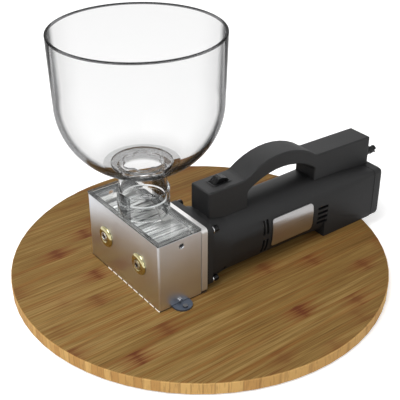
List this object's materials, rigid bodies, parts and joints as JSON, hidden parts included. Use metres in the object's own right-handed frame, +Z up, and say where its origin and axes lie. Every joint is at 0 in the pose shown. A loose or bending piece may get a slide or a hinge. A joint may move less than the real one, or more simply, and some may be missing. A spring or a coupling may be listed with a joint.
{
  "type": "electric grain mill",
  "caption": "Tabletop roller grain mill: steel mill box with a clear bowl hopper, driven by a geared motor under an arched handle, on a round wooden board with a grain outlet.",
  "frame": {"origin": "middle of the round board's underside", "axes": "+X across the mill box towards the motor's side, +Y from the box's front face along the motor to its rear end, +Z up"},
  "size_m": [0.4, 0.4338, 0.2764],
  "materials": {
    "bamboo": "oiled laminated bamboo with darker knots",
    "seal": "pale matt rubber strip",
    "satin_steel": "satin stainless sheet",
    "machined_steel": "ground and machined stainless steel",
    "dark_steel": "blackened or hardened steel",
    "zinc": "blue-grey coated steel",
    "brass": "turned bright brass",
    "clear_plastic": "clear polished acrylic",
    "black_plastic": "fine-textured black moulding",
    "switch_plastic": "smooth black moulding",
    "label_metal": "brushed silver plate",
    "copper": "enamelled copper",
    "carbon": "pressed carbon",
    "nylon": "natural nylon moulding"
  },
  "bodies": {
    "base": {"bamboo_board": "bamboo", "base_gasket": "seal", "mounting_lug_right": "zinc", "mounting_lug_left": "zinc", "lug_board_screw_1": "dark_steel", "lug_board_screw_2": "dark_steel", "lug_side_screw_1": "machined_steel", "lug_side_screw_2": "machined_steel", "mill_shell": "satin_steel", "front_bearing_plate": "machined_steel", "back_plate": "machined_steel", "drive_bush_front": "brass", "drive_bush_rear": "brass", "clear_cover": "clear_plastic", "gear_housing": "black_plastic", "flange_screw_1": "machined_steel", "flange_screw_2": "machined_steel", "flange_screw_3": "machined_steel", "flange_screw_4": "machined_steel", "ring_gear": "dark_steel", "front_bearing": "machined_steel", "rear_bearing": "machined_steel", "stator_core": "dark_steel", "field_coils": "copper", "bearing_bracket": "nylon", "brush_yoke": "nylon", "carbon_brush_1": "carbon", "carbon_brush_2": "carbon", "motor_body": "black_plastic", "end_plate": "black_plastic", "end_plate_screw_1": "dark_steel", "end_plate_screw_2": "dark_steel", "label_plate": "label_metal", "handle_left": "black_plastic", "handle_right": "black_plastic", "handle_screw_1": "dark_steel", "handle_screw_2": "dark_steel", "switch_body": "switch_plastic", "cord_gland": "switch_plastic", "terminal_block": "nylon"},
    "hopper_unit": {"hopper": "clear_plastic", "finger_guard": "clear_plastic"},
    "drive": {"drive_roller": "machined_steel", "drive_shaft": "machined_steel", "drive_coupling": "dark_steel", "planet_carrier": "dark_steel"},
    "rotor": {"motor_shaft": "dark_steel", "cooling_fan": "nylon", "armature_core": "dark_steel", "armature_windings": "copper", "commutator": "copper"},
    "planet_1": {"planet_gear_1": "nylon"},
    "planet_2": {"planet_gear_2": "nylon"},
    "planet_3": {"planet_gear_3": "nylon"},
    "idler": {"idler_roller": "machined_steel", "idler_shaft": "machined_steel"},
    "front_eccentric": {"idler_bush_front": "brass"},
    "rear_eccentric": {"idler_bush_rear": "brass"},
    "rocker": {"switch_rocker": "switch_plastic"}
  },
  "joints": [
    {"name": "hopper_lift", "type": "slide", "parent": "base", "child": "hopper_unit", "axis": [0, 0, 1], "range_m": [0, 0.06]},
    {"name": "drive_spin", "type": "hinge", "parent": "base", "child": "drive", "pos_m": [0.0245, -0.06245, 0.053], "axis": [0, 1, 0], "continuous": true},
    {"name": "rotor_spin", "type": "hinge", "parent": "base", "child": "rotor", "pos_m": [0.0245, 0.04, 0.053], "axis": [0, 1, 0], "continuous": true},
    {"name": "planet_1_spin", "type": "hinge", "parent": "drive", "child": "planet_1", "pos_m": [0.038, -0.0197, 0.053], "axis": [0, 1, 0], "continuous": true},
    {"name": "planet_2_spin", "type": "hinge", "parent": "drive", "child": "planet_2", "pos_m": [0.01775, -0.0197, 0.06469], "axis": [0, 1, 0], "continuous": true},
    {"name": "planet_3_spin", "type": "hinge", "parent": "drive", "child": "planet_3", "pos_m": [0.01775, -0.0197, 0.04131], "axis": [0, 1, 0], "continuous": true},
    {"name": "gap_adjust", "type": "hinge", "parent": "base", "child": "front_eccentric", "pos_m": [-0.0365, -0.0895, 0.053], "axis": [0, 1, 0], "range_deg": [-90, 90]},
    {"name": "gap_adjust_rear", "type": "hinge", "parent": "base", "child": "rear_eccentric", "pos_m": [-0.0365, -0.0385, 0.053], "axis": [0, 1, 0], "range_deg": [-90, 90]},
    {"name": "idler_spin", "type": "hinge", "parent": "front_eccentric", "child": "idler", "pos_m": [-0.0365, -0.06245, 0.054], "axis": [0, 1, 0], "continuous": true},
    {"name": "power_switch", "type": "hinge", "parent": "base", "child": "rocker", "pos_m": [0.0245, 0.0048, 0.1116], "axis": [1, 0, 0], "range_deg": [-20, 0]}
  ],
  "couplings": [
    {"joint": "rotor_spin", "follows": "drive_spin", "ratio": 5},
    {"joint": "planet_1_spin", "follows": "drive_spin", "ratio": -2.6667},
    {"joint": "planet_2_spin", "follows": "drive_spin", "ratio": -2.6667},
    {"joint": "planet_3_spin", "follows": "drive_spin", "ratio": -2.6667},
    {"joint": "gap_adjust_rear", "follows": "gap_adjust", "ratio": 1}
  ]
}
